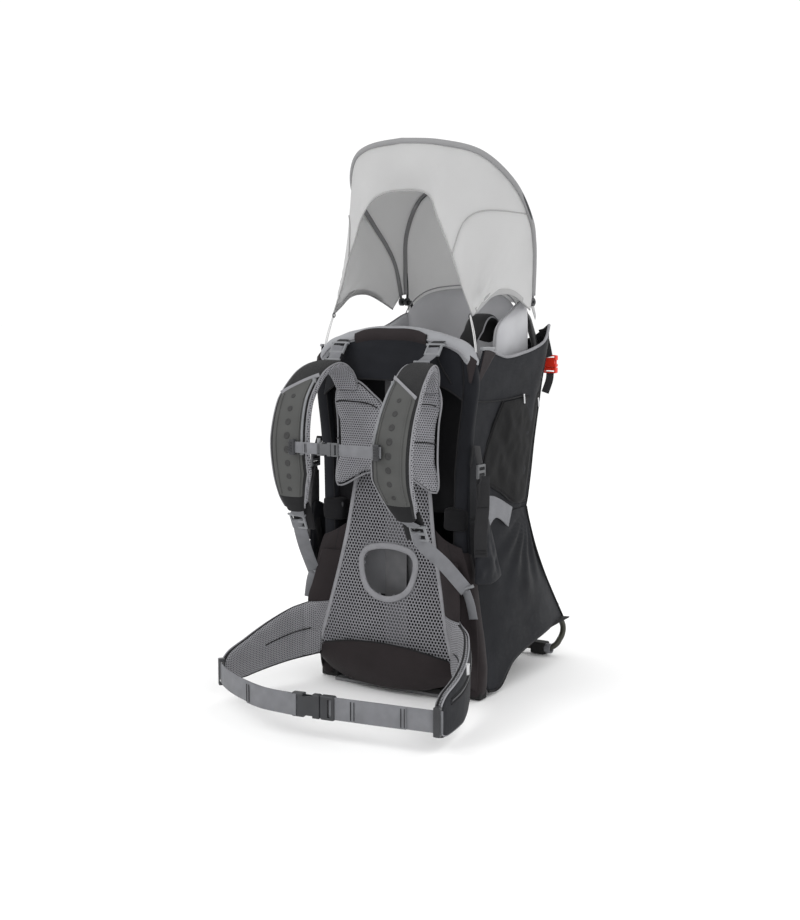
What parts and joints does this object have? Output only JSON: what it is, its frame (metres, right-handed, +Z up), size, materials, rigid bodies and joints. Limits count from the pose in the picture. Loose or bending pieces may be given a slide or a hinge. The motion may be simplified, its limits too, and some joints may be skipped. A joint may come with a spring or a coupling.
{
  "type": "framed child carrier backpack",
  "caption": "Framed backpack carrier for a small child, with a folding rear kickstand, padded harness and hip belt, a deep cockpit and an arched sunshade that folds back.",
  "frame": {"origin": "on the floor under the base skid, half way between the two front feet", "axes": "+X is across the carrier to the wearer's right, -Y is the wearer's side, +Z is up"},
  "size_m": [0.5365, 0.7817, 1.0315],
  "materials": {
    "cover_fabric": "dark brown pack cloth",
    "dark_plastic": "fine-grained moulding",
    "dark_webbing": "woven webbing",
    "foot_rubber": "matt",
    "frame_tube": "dark anodised tube",
    "grey_plastic": "satin moulding",
    "grey_webbing": "woven webbing",
    "grip_fabric": "smooth padded knit",
    "harness_fabric": "smooth padded knit",
    "head_fabric": "brushed soft knit",
    "mesh_fabric": "open spacer mesh",
    "pad_fabric": "air mesh over foam",
    "pin_steel": "plain steel",
    "red_plastic": "glossy moulding",
    "shade_fabric": "thin light sun cloth",
    "shade_rod": "sprung rod in a bound sleeve",
    "shell_fabric": "plain-weave pack cloth",
    "skid_plastic": "matt sheet",
    "stand_tube": "olive-black powder coat",
    "stay_metal": "satin bar",
    "strap_fabric": "ribbed cloth with moulded facing"
  },
  "bodies": {
    "frame": {"back_mesh": "mesh_fabric", "base_skid": "skid_plastic", "bracket_screws": "pin_steel", "cockpit_front": "shell_fabric", "cockpit_rear": "shell_fabric", "frame_brackets": "dark_plastic", "front_feet": "foot_rubber", "front_frame": "frame_tube", "handle_grip": "grip_fabric", "handle_sleeve": "cover_fabric", "harness_straps": "harness_fabric", "headrest_panel": "head_fabric", "headrest_wings": "head_fabric", "hip_buckle_socket": "dark_plastic", "hip_sliders": "dark_plastic", "hip_webbing_left": "grey_webbing", "hip_wing_left": "pad_fabric", "hip_wing_right": "pad_fabric", "kickstand_brackets": "dark_plastic", "kickstand_pins": "pin_steel", "lifter_webbing": "grey_webbing", "lower_covers": "cover_fabric", "lower_webbing": "grey_webbing", "lumbar_cover": "cover_fabric", "rear_frame": "frame_tube", "shade_pins": "pin_steel", "shoulder_strap_left": "strap_fabric", "shoulder_strap_right": "strap_fabric", "side_buckle_socket": "red_plastic", "side_panels": "shell_fabric", "stirrup_locks": "dark_plastic", "storage_bag": "shell_fabric", "storage_sides": "shell_fabric", "torso_stay": "stay_metal", "window_trim": "pad_fabric", "yoke_pads": "pad_fabric"},
    "kickstand": {"kickstand": "stand_tube", "kickstand_feet": "foot_rubber"},
    "lower_lock_left": {"lower_lock_left": "grey_plastic"},
    "lower_lock_right": {"lower_lock_right": "grey_plastic"},
    "lifter_lock_left": {"lifter_lock_left": "grey_plastic"},
    "lifter_lock_right": {"lifter_lock_right": "grey_plastic"},
    "sternum_strap": {"sternum_sliders": "dark_plastic", "sternum_webbing_left": "grey_webbing", "sternum_buckle_socket": "grey_plastic"},
    "sternum_plug": {"sternum_buckle_plug": "grey_plastic", "sternum_webbing_right": "grey_webbing"},
    "hip_plug": {"hip_buckle_plug": "dark_plastic", "hip_webbing_right": "grey_webbing"},
    "side_plug": {"side_buckle_plug": "red_plastic"},
    "seat": {"seat_pad": "harness_fabric"},
    "zip_pull": {"pocket_zip_pull": "pin_steel"},
    "stirrup_left": {"stirrup_left": "dark_webbing"},
    "stirrup_right": {"stirrup_right": "dark_webbing"},
    "shade_rear": {"shade_rear_hoop": "shade_rod", "shade_roof": "shade_fabric"},
    "shade_front": {"shade_front_hoop": "shade_rod", "shade_skirt": "shade_fabric"}
  },
  "joints": [
    {"name": "kickstand_fold", "type": "hinge", "parent": "frame", "child": "kickstand", "pos_m": [0, 0.196, 0.318], "axis": [1, 0, 0], "range_deg": [-42, 0]},
    {"name": "shade_fold", "type": "hinge", "parent": "frame", "child": "shade_rear", "pos_m": [0, 0.24, 0.735], "axis": [1, 0, 0], "range_deg": [-95, 0], "deforming": ["shade_roof"]},
    {"name": "shade_front_fold", "type": "hinge", "parent": "shade_rear", "child": "shade_front", "pos_m": [0, 0.24, 0.735], "axis": [1, 0, 0], "range_deg": [-38, 0], "deforming": ["shade_skirt"]},
    {"name": "hip_buckle_release", "type": "slide", "parent": "frame", "child": "hip_plug", "axis": [0.99, 0.1412, 0], "range_m": [0, 0.045]},
    {"name": "sternum_height", "type": "slide", "parent": "frame", "child": "sternum_strap", "axis": [0, 0, 1], "range_m": [-0.025, 0.025]},
    {"name": "sternum_buckle_release", "type": "slide", "parent": "sternum_strap", "child": "sternum_plug", "axis": [1, 0, 0], "range_m": [0, 0.022]},
    {"name": "side_buckle_release", "type": "slide", "parent": "frame", "child": "side_plug", "axis": [0, 0, -1], "range_m": [0, 0.018]},
    {"name": "seat_height", "type": "slide", "parent": "frame", "child": "seat", "axis": [0, 0, 1], "range_m": [-0.035, 0.06]},
    {"name": "zip_pull_swing", "type": "hinge", "parent": "frame", "child": "zip_pull", "pos_m": [0.256, -0.196, 0.122], "axis": [0.9703, -0.2419, 0], "range_deg": [-40, 40]},
    {"name": "stirrup_swing_left", "type": "hinge", "parent": "frame", "child": "stirrup_left", "pos_m": [-0.184, -0.024, 0.409], "axis": [1, 0, 0], "range_deg": [-20, 35]},
    {"name": "stirrup_swing_right", "type": "hinge", "parent": "frame", "child": "stirrup_right", "pos_m": [0.184, -0.024, 0.409], "axis": [1, 0, 0], "range_deg": [-20, 35]},
    {"name": "lower_lock_tilt_left", "type": "hinge", "parent": "frame", "child": "lower_lock_left", "pos_m": [-0.131, -0.15853, 0.34342], "axis": [1, 0, 0], "range_deg": [-25, 0]},
    {"name": "lifter_lock_tilt_left", "type": "hinge", "parent": "frame", "child": "lifter_lock_left", "pos_m": [-0.104, -0.05117, 0.65875], "axis": [1, 0, 0], "range_deg": [-25, 0]},
    {"name": "lower_lock_tilt_right", "type": "hinge", "parent": "frame", "child": "lower_lock_right", "pos_m": [0.131, -0.15853, 0.34342], "axis": [1, 0, 0], "range_deg": [-25, 0]},
    {"name": "lifter_lock_tilt_right", "type": "hinge", "parent": "frame", "child": "lifter_lock_right", "pos_m": [0.104, -0.05117, 0.65875], "axis": [1, 0, 0], "range_deg": [-25, 0]}
  ],
  "couplings": [
    {"joint": "shade_front_fold", "follows": "shade_fold", "ratio": 0.4}
  ]
}
